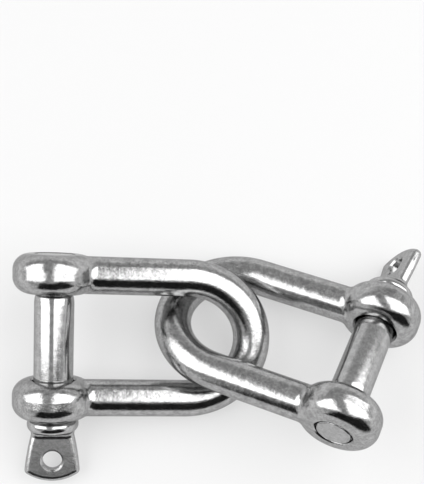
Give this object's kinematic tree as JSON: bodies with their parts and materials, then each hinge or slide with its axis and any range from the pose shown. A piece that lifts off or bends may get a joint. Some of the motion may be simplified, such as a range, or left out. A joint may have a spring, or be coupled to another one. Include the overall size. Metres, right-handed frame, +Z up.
{
  "type": "linked pair of screw-pin shackles",
  "caption": "Two polished stainless screw-pin D shackles linked bow through bow, each with an eye-tab pin; a loose link between an anchor and its chain.",
  "frame": {"origin": "on the surface that the set lies on, below the middle of its box", "axes": "+Z up from that surface; +X from the anchor-side pin towards the chain-side pin, along the anchor-side bow's legs; +Y across them"},
  "size_m": [0.1115, 0.0626, 0.0348],
  "materials": {
    "cast_stainless": "polished casting with a fine grain",
    "turned_stainless": "turned and polished"
  },
  "bodies": {
    "anchor_side_bow": {"anchor_side_bow": "cast_stainless"},
    "anchor_side_pin": {"anchor_side_pin": "turned_stainless"},
    "chain_side_bow": {"chain_side_bow": "cast_stainless"},
    "chain_side_pin": {"chain_side_pin": "turned_stainless"}
  },
  "joints": [
    {"name": "bow_link", "type": "hinge", "parent": "anchor_side_bow", "child": "chain_side_bow", "pos_m": [-0.00953, 0.01584, 0.00833], "axis": [-0.4167, -0.8495, 0.3234], "range_deg": [0, 120]},
    {"name": "anchor_side_screw", "type": "slide", "parent": "anchor_side_bow", "child": "anchor_side_pin", "axis": [-0.0514, -0.9361, -0.3481], "range_m": [0, 0.0103]},
    {"name": "chain_side_screw", "type": "slide", "parent": "chain_side_bow", "child": "chain_side_pin", "axis": [0.4167, 0.8495, -0.3234], "range_m": [0, 0.0103]}
  ]
}
